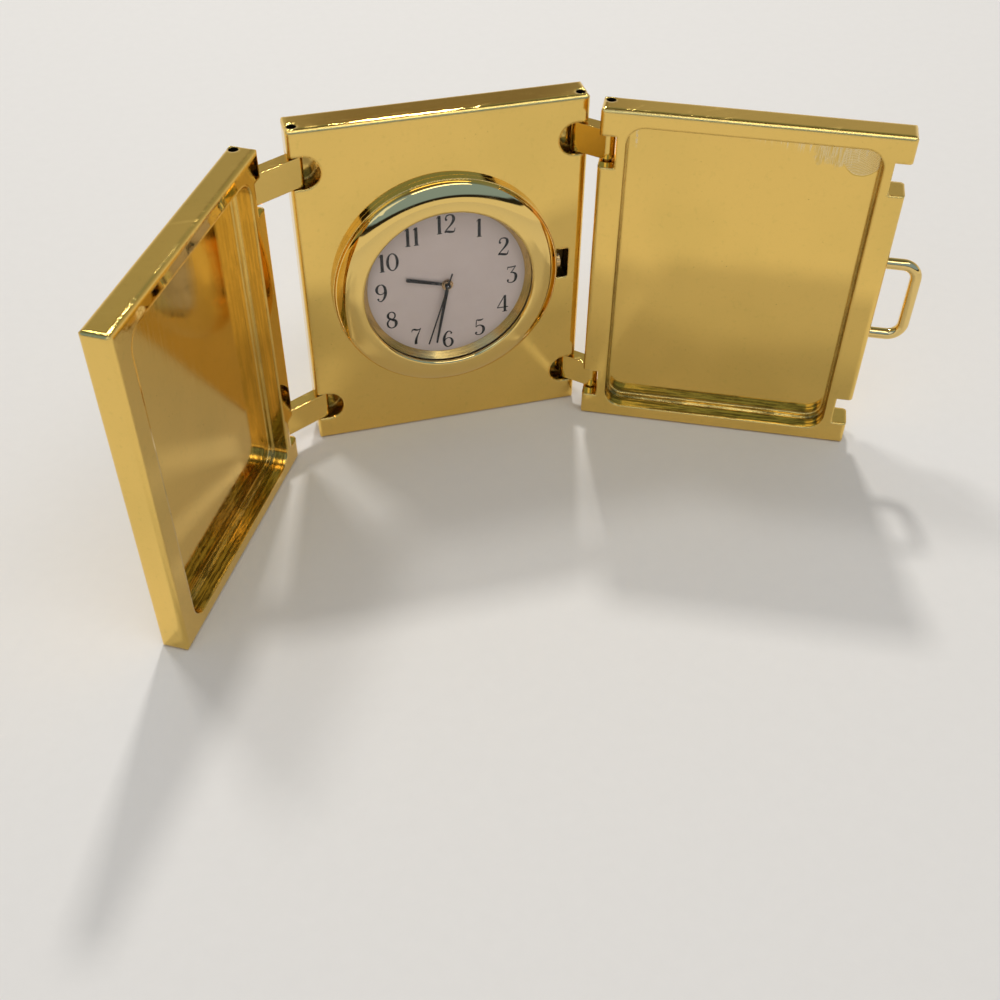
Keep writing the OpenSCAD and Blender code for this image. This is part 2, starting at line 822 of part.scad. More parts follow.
module second_hand() {
    color(ink) at_head() translate([0, 0, second_level]) at_clock(second_angle)
        difference() {
            union() {
                cylinder(d = second_boss_d, h = second_t);
                translate([-second_w / 2, -second_tail, 0])
                    cube([second_w, second_tail + second_len, second_t]);
            }
            translate([0, 0, -cut]) cylinder(r = arbor_r + fit, h = second_t + 2 * cut);
        }
}

// Crown

module crown() {
    color(bright_brass) at_head() along_stem() translate([0, 0, crown_start]) difference() {
        cylinder(d = crown_d, h = crown_len);
        translate([0, 0, -cut]) cylinder(r = stem_r + fit, h = crown_len / 2 + cut);
        for (i = [0 : crown_grooves - 1])
            rotate(i * 360 / crown_grooves)
                translate([crown_d / 2, 0, crown_len / 2])
                    rotate(45) cube([crown_groove_w, crown_groove_w, crown_len + cut], center = true);
    }
}

module stem() {
    stem_end = crown_start + crown_len / 2 - fit;
    color(steel) at_head() along_stem() translate([0, 0, stem_inner_x]) difference() {
        cylinder(r = stem_r, h = stem_end - stem_inner_x);
        translate([0, 0, groove_x - stem_inner_x]) ring(stem_r + cut, groove_r, 0, groove_w);
    }
}

// The forked lever that rides in the stem's groove
module setting_lever() {
    slot_r = groove_r + run_gap / 2;
    color(steel) at_head() translate([groove_x + fit, 0, -stem_depth]) difference() {
        translate([0, -lever_half_w, -lever_half_h]) cube([lever_t, 2 * lever_half_w, 2 * lever_half_h]);
        translate([-cut, -slot_r, -slot_r])
            cube([lever_t + 2 * cut, 2 * slot_r, lever_half_h + slot_r + cut]);
    }
}

centre_panel();
left_wing();
right_wing();
carry_handle();
left_upper_link();
left_lower_link();
right_upper_link();
right_lower_link();
centre_left_pins();
centre_right_pins();
left_wing_pins();
right_wing_pins();
bezel();
crystal();
crystal_gasket();
dial_ring();
dial();
case_band();
case_back();
fit_ring();
movement_holder();
main_plate();
train_bridge();
battery();
battery_clamp();
coil();
stator();
hour_hand();
hour_wheel();
minute_hand();
cannon_pinion();
minute_wheel();
second_hand();
second_arbor();
crown();
stem();
setting_lever();
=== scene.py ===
"""Folding brass clock: looks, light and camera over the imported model.

Lengths in capitals are in mm and become metres by MM. Light places and sizes are in metres.
"""
import math

import bmesh
import bpy
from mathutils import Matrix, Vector


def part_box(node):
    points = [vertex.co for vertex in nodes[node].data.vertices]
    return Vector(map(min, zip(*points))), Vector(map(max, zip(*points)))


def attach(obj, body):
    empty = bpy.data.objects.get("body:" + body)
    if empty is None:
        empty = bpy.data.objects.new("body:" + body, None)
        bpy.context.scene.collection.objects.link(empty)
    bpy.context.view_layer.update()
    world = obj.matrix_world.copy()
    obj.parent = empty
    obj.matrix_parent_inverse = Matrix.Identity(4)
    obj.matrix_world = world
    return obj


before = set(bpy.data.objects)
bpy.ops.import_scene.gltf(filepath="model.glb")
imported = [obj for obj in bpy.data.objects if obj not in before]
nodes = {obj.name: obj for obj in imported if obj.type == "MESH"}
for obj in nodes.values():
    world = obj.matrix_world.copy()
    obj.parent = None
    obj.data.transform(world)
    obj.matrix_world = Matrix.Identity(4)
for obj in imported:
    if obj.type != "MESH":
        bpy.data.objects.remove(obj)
for name in ("Cube", "Light", "Camera"):
    start_object = bpy.data.objects.get(name)
    if start_object:
        bpy.data.objects.remove(start_object, do_unlink=True)
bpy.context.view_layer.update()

MM = 0.001


def middle(name):
    """The middle of a CAD node's box at rest, in mm."""
    low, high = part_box(name)
    return [(a + b) / 2 / MM for a, b in zip(low, high)]


HEAD_Z = middle("dial")[2]
DIAL_FRONT_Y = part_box("dial")[0].y / MM
PANEL_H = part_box("centre_panel")[1].z / MM
PANEL_FRONT_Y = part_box("centre_panel")[0].y / MM
PANEL_EASED = 0.6
METAL_EASED = 0.12
PIN_HOLE_R = 0.67
PIN_RECESS = 0.8

# The crown's recess and the link slots in the centre panel: their reach along X, and up and down from HEAD_Z
CROWN_RECESS_X = (17.0, 21.6)
CROWN_RECESS_HALF = 2.7
LINK_SLOT_X = (18.6, 22.9)
LINK_SLOT_RISE = (19.1, 24.3)

# Each wing's own frame: its hinge, its turn in degrees and whether it is mirrored. X runs from the hinge to
# the free edge, Y from the recess to the back, and Z up. The recess's places below are in that frame.
RIGHT_WING = {"hinge": middle("right_wing_pins")[:2], "turn": 25.1, "mirror": 1}
LEFT_WING = {"hinge": middle("left_wing_pins")[:2], "turn": 59.9, "mirror": -1}
WING_INNER_Y = -3.2
WING_FLOOR_Y = 0.1
RECESS_X = (2.8, 40.8)
RECESS_Z = (2.5, 54.5)

# Dried polish on the right wing's floor, in that wing's X and Z: the patch that a cloth left, the drop beside
# it, and a short run at the other end
PATCH_MIDDLE = (34.2, 51.4)
PATCH_REACH = (3.8, 2.6)
DROP_MIDDLE = (37.9, 51.5)
DROP_REACH = (3.1, 2.8)
SHORT_RUN_X = (4.1, 4.4)
SHORT_RUN_FALL = (0.8, 4.2)

BRASS = (0.90, 0.61, 0.165, 1)
BRASS_DULL = (0.60, 0.44, 0.11, 1)
PIN = (0.55, 0.38, 0.13, 1)
PIN_DULL = (0.18, 0.12, 0.05, 1)
PIT = (0.10, 0.07, 0.02, 1)
# Painted shade in the pin holes and on the pins' ends down in them
HOLE_SHADE = (0.012, 0.008, 0.004, 1)
# Painted shade for the crown's recess and the link slots
POCKET_SHADE = (0.09, 0.055, 0.02, 1)
MILLED_DARK = (0.20, 0.13, 0.025, 1)
POLISH_FILM = (0.62, 0.42, 0.10, 1)
POLISH_RESIDUE = (0.90, 0.76, 0.47, 1)
LEFT_CLEAR = (0.96, 0.97, 0.97, 1)

FLOOR_HALF = 3.0
FLOOR_FADE = (180.0, 650.0)
HORIZON = (0.76, 0.735, 0.70, 1)


# Camera

camera = bpy.data.objects.new("camera", bpy.data.cameras.new("camera"))
bpy.context.scene.collection.objects.link(camera)
camera.location = (-40.1 * MM, -181.0 * MM, 151.0 * MM)
camera.rotation_euler = [math.radians(a) for a in (42.59, -0.50, -15.09)]
camera.data.sensor_width = 36
camera.data.lens = 47.62
camera.data.shift_y = 0.10
camera.data.clip_start = 0.005
bpy.context.scene.camera = camera
bpy.context.scene.view_settings.view_transform = "Standard"


# Shader building

class Graph:
    """Adds nodes to one node tree. What goes into an input is a number, a colour or another node's socket."""

    def __init__(self, tree):
        self.tree = tree

    def put(self, socket, value):
        if isinstance(value, bpy.types.NodeSocket):
            self.tree.links.new(value, socket)
        elif value is not None:
            socket.default_value = value

    def add(self, kind, inputs=(), **settings):
        node = self.tree.nodes.new("ShaderNode" + kind)
        for key, value in settings.items():
            setattr(node, key, value)
        named = inputs.items() if isinstance(inputs, dict) else enumerate(inputs)
        for key, value in named:
            self.put(node.inputs[key], value)
        return node

    def math(self, operation, *values):
        return self.add("Math", values, operation=operation).outputs[0]

    def times(self, a, b):
        return self.math("MULTIPLY", a, b)

    def plus(self, a, b):
        return self.math("ADD", a, b)

    def minus(self, a, b):
        return self.math("SUBTRACT", a, b)

    def most(self, a, b):
        return self.math("MAXIMUM", a, b)

    def size(self, a):
        return self.math("ABSOLUTE", a)

    def mix(self, factor, a, b):
        node = self.add("Mix", {0: factor, 6: a, 7: b}, data_type="RGBA")
        return node.outputs[2]

    def blend(self, factor, a, b):
        node = self.add("Mix", {0: factor, 2: a, 3: b}, data_type="FLOAT")
        return node.outputs[0]

    def ramp(self, value, low, high, out_low=0.0, out_high=1.0):
        values = (value, low, high, out_low, out_high)
        return self.add("MapRange", values, interpolation_type="SMOOTHSTEP").outputs[0]

    def between(self, value, low, high, soft=0.02):
        """1 where value lies between low and high, with edges soft wide."""
        rise = self.ramp(value, low - soft, low + soft)
        fall = self.ramp(value, high - soft, high + soft, 1.0, 0.0)
        return self.times(rise, fall)

    def noise(self, vector, scale, detail=2.0, roughness=0.5, distortion=0.0):
        inputs = {"Vector": vector, "Scale": scale, "Detail": detail, "Roughness": roughness,
                  "Distortion": distortion}
        return self.add("TexNoise", inputs).outputs[0]

    def cells(self, vector, scale):
        return self.add("TexVoronoi", {"Vector": vector, "Scale": scale}).outputs["Distance"]

    def place(self, vector, move=(0, 0, 0), turn=(0, 0, 0), scale=(1, 1, 1)):
        turn = [math.radians(a) for a in turn]
        inputs = {"Vector": vector, "Location": move, "Rotation": turn, "Scale": scale}
        return self.add("Mapping", inputs).outputs[0]

    def split(self, vector):
        return self.add("SeparateXYZ", (vector,)).outputs

    def length(self, vector):
        return self.add("VectorMath", (vector,), operation="LENGTH").outputs["Value"]


def ray_kind(graph, *kinds):
    """1 for rays of these kinds."""
    ray = graph.add("LightPath")
    total = ray.outputs[kinds[0]]
    for kind in kinds[1:]:
        total = graph.most(total, ray.outputs[kind])
    return total


def new_material(name):
    """A material with an empty Principled shader, its graph and the place on the object in mm."""
    material = bpy.data.materials.new(name)
    material.use_nodes = True
    graph = Graph(material.node_tree)
    shader = material.node_tree.nodes["Principled BSDF"]
    where = graph.add("TexCoord").outputs["Object"]
    spot = graph.place(where, scale=(1 / MM, 1 / MM, 1 / MM))
    return material, graph, shader, spot


def show(graph, material, surface):
    """Makes this shader what the material shows, in place of the Principled one alone."""
    graph.put(material.node_tree.nodes["Material Output"].inputs["Surface"], surface)


def bump(graph, shader, height, distance, eased=0.0):
    """height times distance in mm. Sharp edges catch the light as if they were eased by that radius in mm."""
    node = graph.add("Bump", {"Height": height, "Distance": distance * MM, "Strength": 1.0})
    if eased:
        edge = graph.add("Bevel", {"Radius": eased * MM}, samples=6)
        graph.put(node.inputs["Normal"], edge.outputs[0])
    graph.put(shader.inputs["Normal"], node.outputs[0])


# Brass

def hairlines(graph, spot, turn, spacing, share):
    """Fine straight scratches along one direction: 1 on a scratch. share is how much of the face has them."""
    along = graph.place(spot, turn=turn, scale=(0.035 / spacing, 1 / spacing, 1 / spacing))
    wave = graph.noise(along, 1.0, 1.0, 0.4)
    line = graph.ramp(graph.size(graph.minus(wave, 0.5)), 0.0, 0.012, 1.0, 0.0)
    patch = graph.ramp(graph.noise(spot, 0.22, 2.0), 0.62 - share * 0.3, 0.70 - share * 0.3)
    return graph.times(line, patch)


def brass_surface(graph, spot, base, dull, low, high, wear):
    """Colour, roughness and height of polished brass that has been handled. Its roughness is low to high."""
    cloud = graph.ramp(graph.noise(spot, 0.05, 2.0, 0.5), 0.40, 0.68)
    film = graph.ramp(graph.noise(spot, 1.1, 5.0, 0.7), 0.52, 0.80)
    tarnish = graph.times(graph.plus(graph.times(cloud, 0.22), graph.times(film, 0.30)), wear)

    pits = graph.ramp(graph.cells(spot, 1.1), 0.03, 0.08, 1.0, 0.0)
    sparse = graph.ramp(graph.noise(spot, 0.35, 2.0), 0.60, 0.66)
    pits = graph.times(graph.times(pits, sparse), wear)

    first = hairlines(graph, spot, (12, 24, 38), 1.3, 0.7)
    second = hairlines(graph, spot, (-31, 8, -57), 1.9, 0.6)
    third = hairlines(graph, spot, (75, -16, 9), 1.6, 0.5)
    lines = graph.times(graph.most(graph.most(first, second), third), wear)

    colour = graph.mix(tarnish, base, dull)
    colour = graph.mix(graph.times(pits, 0.8), colour, PIT)
    rough = graph.ramp(graph.noise(spot, 0.13, 4.0, 0.6, 0.4), 0.50, 0.72, low, high)
    rough = graph.plus(rough, graph.times(lines, 0.14))
    swell = graph.noise(spot, 0.07, 1.0, 0.3)
    height = graph.plus(graph.times(swell, 0.035), graph.times(lines, -0.0005))
    height = graph.plus(height, graph.times(pits, -0.02))
    return colour, rough, height


def finish_metal(graph, shader, colour, rough, height, eased=METAL_EASED):
    shader.inputs["Metallic"].default_value = 1.0
    graph.put(shader.inputs["Base Color"], colour)
    graph.put(shader.inputs["Roughness"], rough)
    bump(graph, shader, height, 1.0, eased)


def plain_brass(name, base=BRASS, dull=BRASS_DULL, low=0.03, high=0.10, wear=1.0):
    material, graph, shader, spot = new_material(name)
    finish_metal(graph, shader, *brass_surface(graph, spot, base, dull, low, high, wear))
    return material


def near_end(graph, z):
    """1 within a pin's recess of either end face."""
    low = PIN_RECESS + 0.05
    return graph.minus(1.0, graph.between(z, low, PANEL_H - low, 0.02))


def in_hole(graph, place, axis):
    """1 on the wall and the mouth of the pin holes round the axis at (x, y), where shade is painted near
    black.
    """
    away = graph.length(graph.place(place, move=(-axis[0], -axis[1], 0), scale=(1, 1, 0)))
    return graph.ramp(away, PIN_HOLE_R + 0.02, PIN_HOLE_R + 0.12, 1.0, 0.0)


# Painted shade: darkens the pin holes and the pins' ends in them to near black
def blacken(graph, amount, colour, rough):
    return graph.mix(amount, colour, HOLE_SHADE), graph.blend(amount, rough, 0.75)


def centre_brass():
    """Panel brass with painted black shade in the pin holes, and painted shade in the crown's recess and the
    link slots.
    """
    material, graph, shader, spot = new_material("panel_brass")
    colour, rough, height = brass_surface(graph, spot, BRASS, BRASS_DULL, 0.03, 0.14, 1.0)
    left, right = (in_hole(graph, spot, middle(name)) for name in ("centre_left_pins", "centre_right_pins"))
    colour, rough = blacken(graph, graph.most(left, right), colour, rough)

    # Painted shade, patchy, deep in the crown's recess and the link slots
    x, y, z = graph.split(spot)
    from_middle = graph.size(graph.minus(z, HEAD_Z))
    within = graph.ramp(from_middle, CROWN_RECESS_HALF - 0.02, CROWN_RECESS_HALF + 0.04, 1.0, 0.0)
    crown = graph.times(graph.between(x, *CROWN_RECESS_X), within)
    slots = graph.between(graph.size(x), *LINK_SLOT_X)
    slots = graph.times(slots, graph.between(from_middle, *LINK_SLOT_RISE))
    deep = graph.between(y, PANEL_FRONT_Y + 0.15, -PANEL_FRONT_Y - 0.2, 0.1)
    patchy = graph.ramp(graph.noise(spot, 0.8, 4.0, 0.6), 0.30, 0.62)
    pocket_shade = graph.most(graph.times(crown, graph.ramp(patchy, 0.0, 1.0, 0.75, 0.97)),
                       graph.times(slots, graph.ramp(patchy, 0.0, 1.0, 0.15, 0.60)))
    pocket_shade = graph.times(pocket_shade, deep)
    colour = graph.mix(pocket_shade, colour, POCKET_SHADE)
    rough = graph.blend(pocket_shade, rough, 0.3)
    finish_metal(graph, shader, colour, rough, height, PANEL_EASED)
    return material


def pin_metal():
    """The hinge pins: dull where they turn in the links, and black at their ends down in the holes by painted
    shade.
    """
    material, graph, shader, spot = new_material("pin_steel")
    colour, rough, height = brass_surface(graph, spot, PIN, PIN_DULL, 0.2, 0.4, 1.0)
    colour, rough = blacken(graph, near_end(graph, graph.split(spot)[2]), colour, rough)
    finish_metal(graph, shader, colour, rough, height)
    return material


def oval(graph, own, place, reach):
    """A point measured from place (x, z) in units of reach (x, z), and its distance from there."""
    move = (-place[0] / reach[0], 0, -place[1] / reach[1])
    flat = graph.place(own, move=move, scale=(1 / reach[0], 0, 1 / reach[1]))
    return flat, graph.length(flat)


def dried_polish(graph, own, x, z):
    """Dried polish on a recess's floor: how much of a dull film there is, and how much pale residue."""
    # Streaks down from the top edge, longer and denser towards the free edge
    drop = graph.minus(RECESS_Z[1] - 0.3, z)
    column = graph.noise(graph.place(own, scale=(2.6, 0.0, 0.10)), 1.0, 2.0, 0.6)
    fine = graph.ramp(graph.noise(graph.place(own, scale=(7.0, 0.0, 0.22)), 1.0, 3.0, 0.65), 0.38, 0.60)
    reach = graph.times(graph.ramp(x, 8.0, 34.0, 0.2, 3.2), graph.ramp(column, 0.35, 0.70, 0.3, 1.2))
    streaks = graph.times(graph.ramp(graph.minus(reach, drop), -0.3, 1.4), fine)

    # The patch: slanting strokes with a ragged edge
    flat, away = oval(graph, own, PATCH_MIDDLE, PATCH_REACH)
    ragged = graph.plus(away, graph.ramp(graph.noise(own, 0.5, 3.0, 0.6), 0.3, 0.7, -0.35, 0.35))
    strokes = graph.noise(graph.place(own, turn=(0, 28, 0), scale=(4.5, 0.0, 0.35)), 1.0, 2.0, 0.6)
    patch = graph.times(graph.ramp(ragged, 0.55, 1.0, 0.75, 0.0), graph.ramp(strokes, 0.40, 0.62))

    # The drop: a clear rim on its lower right, and fine curved strokes within
    flat, away = oval(graph, own, DROP_MIDDLE, DROP_REACH)
    uneven = graph.plus(away, graph.ramp(graph.noise(own, 0.25, 2.0), 0.3, 0.7, -0.08, 0.08))
    side = graph.split(flat)
    lean = graph.minus(side[0], graph.times(side[2], 0.8))
    rim = graph.times(graph.between(uneven, 0.93, 0.97, 0.03), graph.ramp(lean, -0.5, 0.4, 0.15, 1.0))
    waves = {"Vector": graph.place(flat, move=(0.6, 0, -0.7)), "Scale": 3.4, "Distortion": 1.2,
             "Detail": 2.0, "Detail Scale": 2.0}
    arcs = graph.add("TexWave", waves, wave_type="RINGS", rings_direction="SPHERICAL").outputs[1]
    arcs = graph.times(graph.ramp(arcs, 0.35, 0.85, 0.1, 0.8), graph.ramp(uneven, 0.90, 0.99, 1.0, 0.0))
    smear = graph.most(patch, graph.most(arcs, rim))
    border = graph.times(graph.between(uneven, 0.98, 1.04, 0.03), graph.ramp(lean, -0.5, 0.4, 0.2, 0.9))
    film = graph.most(graph.ramp(ragged, 0.5, 1.0, 0.5, 0.0), graph.ramp(uneven, 0.93, 1.0, 0.55, 0.0))
    film = graph.most(film, border)

    # One more short run of it in the near top corner
    run = graph.times(graph.between(x, *SHORT_RUN_X, 0.12), graph.between(drop, *SHORT_RUN_FALL, 0.6))
    run = graph.times(run, graph.ramp(graph.noise(own, 1.6, 2.0), 0.42, 0.55))
    return film, graph.most(graph.most(streaks, smear), run)


def wing_brass(name, wing, smeared):
    """Panel brass with the recess's milled wall and its brushed floor, and dried polish where smeared."""
    material, graph, shader, spot = new_material(name)
    colour, rough, height = brass_surface(graph, spot, BRASS, BRASS_DULL, 0.03, 0.14, 1.0)
    hinge_x, hinge_y = wing["hinge"][0] * wing["mirror"], wing["hinge"][1]
    turn = math.radians(wing["turn"])
    back = (hinge_y * math.sin(turn) - hinge_x * math.cos(turn),
            -hinge_x * math.sin(turn) - hinge_y * math.cos(turn), 0)
    own = graph.place(spot, move=back, turn=(0, 0, wing["turn"]), scale=(wing["mirror"], 1, 1))
    x, y, z = graph.split(own)
    across = graph.between(x, RECESS_X[0] - 0.06, RECESS_X[1] + 0.06)
    upright = graph.between(z, RECESS_Z[0] - 0.06, RECESS_Z[1] + 0.06)
    inside = graph.times(across, upright)
    wall = graph.times(inside, graph.between(y, WING_INNER_Y + 0.06, WING_FLOOR_Y - 0.04))
    floor = graph.times(inside, graph.between(y, WING_FLOOR_Y - 0.02, WING_FLOOR_Y + 0.2))

    # The milling cutter left rings round the wall, deepest along its lower side, with dull patches between
    rings = graph.noise(graph.place(own, scale=(0.05, 2.6, 0.05)), 1.0, 2.0, 0.6)
    patch = graph.noise(graph.place(own, scale=(0.22, 1.1, 0.22)), 1.0, 4.0, 0.6, 0.5)
    milled = graph.plus(graph.times(rings, 0.5), graph.times(patch, 0.5))
    depth = graph.times(wall, graph.ramp(z, RECESS_Z[0] + 0.4, RECESS_Z[0] + 2.6, 1.0, 0.25))
    dark = graph.times(depth, graph.ramp(milled, 0.44, 0.56, 0.0, 0.95))
    colour = graph.mix(dark, colour, MILLED_DARK)
    rough = graph.blend(depth, rough, graph.ramp(milled, 0.40, 0.65, 0.08, 0.30))
    height = graph.plus(height, graph.times(graph.times(depth, milled), 0.05))

    # The floor was brushed up and down, and is duller than the polished rim
    brush = graph.noise(graph.place(own, scale=(3.0, 1.0, 0.05)), 1.0, 4.0, 0.65)
    rough = graph.blend(floor, rough, graph.ramp(brush, 0.4, 0.75, 0.05, 0.16))
    height = graph.plus(height, graph.times(graph.times(floor, brush), 0.004))

    if smeared:
        film, residue = (graph.times(part, floor) for part in dried_polish(graph, own, x, z))
        colour = graph.mix(film, colour, POLISH_FILM)
        colour = graph.mix(graph.times(residue, 0.8), colour, POLISH_RESIDUE)
        rough = graph.blend(residue, rough, 0.42)
        height = graph.plus(height, graph.times(residue, 0.010))

    # Painted shade in the hinge hole
    colour, rough = blacken(graph, in_hole(graph, own, (0.0, 0.0)), colour, rough)
    finish_metal(graph, shader, colour, rough, height, PANEL_EASED)
    return material


# The clock head and its movement

def from_axis(graph, spot):
    """Distance in mm from the axis of the hands."""
    return graph.length(graph.place(spot, move=(0, 0, -HEAD_Z), scale=(1, 0, 1)))


def dial_paint():
    """Pale silver with a pink tint that is painted red bounce light, and painted shade darkening it towards
    its edge.
    """
    material, graph, shader, spot = new_material("dial_paint")
    radius = from_axis(graph, spot)
    grain = graph.noise(spot, 9.0, 3.0, 0.6)
    mottle = graph.noise(spot, 0.5, 4.0, 0.6)
    # Painted light: the pink tint stands for red light bounced onto the silver paint
    colour = graph.mix(graph.ramp(mottle, 0.35, 0.7), (0.75, 0.61, 0.555, 1), (0.77, 0.63, 0.575, 1))
    # Painted shade: darker towards the edge, next to the bezel
    colour = graph.mix(graph.ramp(radius, 11.5, 13.4, 0.0, 0.35), colour, (0.46, 0.40, 0.37, 1))
    graph.put(shader.inputs["Base Color"], colour)
    graph.put(shader.inputs["Roughness"], graph.ramp(grain, 0.3, 0.7, 0.34, 0.48))
    shader.inputs["Specular IOR Level"].default_value = 0.25
    bump(graph, shader, grain, 0.0015)
    return material


def lacquer(name, boss_r=0.0):
    """Black lacquer. Inside boss_r the brass is bare, with a dark turned groove."""
    material, graph, shader, spot = new_material(name)
    shader.inputs["Specular IOR Level"].default_value = 0.25
    fleck = graph.noise(spot, 6.0, 4.0, 0.6)
    colour = graph.mix(graph.ramp(fleck, 0.35, 0.75), (0.004, 0.004, 0.004, 1), (0.012, 0.010, 0.010, 1))
    rough = graph.ramp(fleck, 0.3, 0.7, 0.20, 0.32)
    if boss_r:
        radius = from_axis(graph, spot)
        bare = graph.ramp(radius, boss_r - 0.02, boss_r + 0.01, 1.0, 0.0)
        groove = graph.between(radius, boss_r - 0.16, boss_r - 0.09, 0.02)
        turned = graph.mix(groove, (0.78, 0.50, 0.24, 1), (0.16, 0.08, 0.04, 1))
        colour = graph.mix(bare, colour, turned)
        graph.put(shader.inputs["Metallic"], bare)
    graph.put(shader.inputs["Base Color"], colour)
    graph.put(shader.inputs["Roughness"], rough)
    bump(graph, shader, fleck, 0.0008)
    return material


def crystal_glass():
    """Clear glass with faint smudges. Light from lamps and from the dial passes it unbent."""
    material, graph, shader, spot = new_material("crystal_glass")
    smudge = graph.noise(spot, 0.3, 5.0, 0.65, 0.8)
    graph.put(shader.inputs["Roughness"], graph.ramp(smudge, 0.5, 0.8, 0.0, 0.015))
    graph.put(shader.inputs["Base Color"], graph.mix(smudge, (0.97, 0.985, 0.985, 1), (0.99, 0.99, 0.99, 1)))
    shader.inputs["Transmission Weight"].default_value = 1.0
    shader.inputs["IOR"].default_value = 1.3
    clear = graph.add("BsdfTransparent", (LEFT_CLEAR,))
    ray = graph.add("LightPath")
    surface = shader.outputs[0]
    for kind in ("Is Diffuse Ray", "Is Shadow Ray"):
        surface = graph.add("MixShader", (ray.outputs[kind], surface, clear.outputs[0])).outputs[0]
    show(graph, material, surface)
    return material


def moulded(name, pale, dark):
    """Plain moulded plastic with a fine grain."""
    material, graph, shader, spot = new_material(name)
    grain = graph.noise(spot, 3.0, 5.0, 0.6)
    graph.put(shader.inputs["Base Color"], graph.mix(graph.ramp(grain, 0.3, 0.7), pale, dark))
    graph.put(shader.inputs["Roughness"], graph.ramp(grain, 0.3, 0.7, 0.38, 0.55))
    shader.inputs["Subsurface Weight"].default_value = 0.05
    shader.inputs["Subsurface Radius"].default_value = (0.001, 0.001, 0.001)
    bump(graph, shader, grain, 0.004)
    return material


def brushed(name, pale, dark, stretch, low, high):
    """Metal with fine lines along the axis that stretch leaves longest."""
    material, graph, shader, spot = new_material(name)
    lines = graph.noise(graph.place(spot, scale=stretch), 1.0, 4.0, 0.65)
    blotch = graph.noise(spot, 0.4, 3.0)
    colour = graph.mix(graph.ramp(lines, 0.3, 0.7), pale, dark)
    colour = graph.mix(graph.ramp(blotch, 0.5, 0.75, 0.0, 0.4), colour, dark)
    finish_metal(graph, shader, colour, graph.ramp(lines, 0.3, 0.7, low, high), graph.times(lines, 0.004))
    return material


def turned_brass(name, base, dull):
    """Brass with the rings that a lathe leaves round the hands' axis."""
    material, graph, shader, spot = new_material(name)
    radius = from_axis(graph, spot)
    ring = graph.add("CombineXYZ", (graph.times(radius, 9.0), 0.0, 0.0)).outputs[0]
    rings = graph.noise(ring, 1.0, 3.0, 0.7)
    cloud = graph.noise(spot, 0.09, 2.0, 0.5)
    colour = graph.mix(graph.ramp(cloud, 0.4, 0.7, 0.0, 0.4), base, dull)
    colour = graph.mix(graph.ramp(rings, 0.35, 0.65, 0.0, 0.5), colour, dull)
    finish_metal(graph, shader, colour, graph.ramp(rings, 0.3, 0.7, 0.14, 0.28), graph.times(rings, 0.003))
    return material


def copper_winding():
    """Enamelled copper wire, its turns side by side along X."""
    material, graph, shader, spot = new_material("coil_copper")
    waves = {"Vector": spot, "Scale": 3.0, "Distortion": 0.3, "Detail": 1.0}
    turns = graph.add("TexWave", waves, bands_direction="X").outputs[1]
    colour = graph.mix(graph.ramp(turns, 0.2, 0.8), (0.30, 0.11, 0.04, 1), (0.72, 0.33, 0.15, 1))
    finish_metal(graph, shader, colour, graph.ramp(turns, 0.2, 0.8, 0.4, 0.22), graph.times(turns, 0.02))
    return material


def dress(material, *names):
    """Gives the CAD nodes this material in every slot."""
    for name in names:
        mesh = nodes[name].data
        if not mesh.materials:
            mesh.materials.append(material)
        for index in range(len(mesh.materials)):
            mesh.materials[index] = material


bezel_brass = plain_brass("bezel_brass", base=(0.88, 0.62, 0.20, 1), low=0.025, high=0.08, wear=0.35)
handle_brass = plain_brass("handle_brass", base=(0.86, 0.62, 0.23, 1), low=0.05, high=0.12, wear=0.6)
# Painted shade: the crown's brass is darker than the panels' for the shade of the recess it sits in
crown_brass = plain_brass("crown_brass", base=(0.74, 0.47, 0.17, 1), low=0.1, high=0.2, wear=0.8)
case_brass = turned_brass("case_brass", (0.80, 0.60, 0.24, 1), (0.58, 0.42, 0.15, 1))
gear_brass = turned_brass("gear_brass", (0.80, 0.60, 0.26, 1), (0.60, 0.44, 0.18, 1))
gasket = moulded("gasket_plastic", (0.80, 0.78, 0.72, 1), (0.70, 0.68, 0.61, 1))
holder = moulded("movement_plastic", (0.84, 0.82, 0.76, 1), (0.74, 0.72, 0.65, 1))
movement_steel = brushed("movement_steel", (0.70, 0.71, 0.72, 1), (0.52, 0.53, 0.55, 1), (0.2, 6, 6),
                         0.16, 0.32)
battery_steel = brushed("battery_steel", (0.74, 0.74, 0.75, 1), (0.58, 0.58, 0.60, 1), (5, 5, 0.3),
                        0.18, 0.3)

dress(centre_brass(), "centre_panel")
dress(wing_brass("left_wing_brass", LEFT_WING, False), "left_wing")
dress(wing_brass("right_wing_brass", RIGHT_WING, True), "right_wing")
dress(plain_brass("link_brass", low=0.07, high=0.18),
      "left_upper_link", "left_lower_link", "right_upper_link", "right_lower_link")
dress(pin_metal(), "centre_left_pins", "centre_right_pins", "left_wing_pins", "right_wing_pins")
dress(bezel_brass, "bezel")
dress(handle_brass, "carry_handle")
dress(crown_brass, "crown")
dress(turned_brass("ring_brass", (0.86, 0.60, 0.20, 1), (0.66, 0.46, 0.14, 1)), "dial_ring")
dress(case_brass, "case_band", "case_back")
dress(gear_brass, "hour_wheel", "cannon_pinion", "minute_wheel")
dress(crystal_glass(), "crystal")
dress(gasket, "crystal_gasket", "fit_ring")
dress(holder, "movement_holder", "train_bridge")
dress(movement_steel, "main_plate", "battery_clamp", "stator", "second_arbor", "stem", "setting_lever")
dress(battery_steel, "battery")
dress(copper_winding(), "coil")
dress(dial_paint(), "dial")
dress(lacquer("hour_lacquer", 0.95), "hour_hand")
dress(lacquer("minute_lacquer", 0.75), "minute_hand")
dress(lacquer("second_lacquer"), "second_hand")


# Numerals: a figure is its width, its strokes of (x, y, half width), and its round ends (x, y, radius), all
# for a figure one unit tall

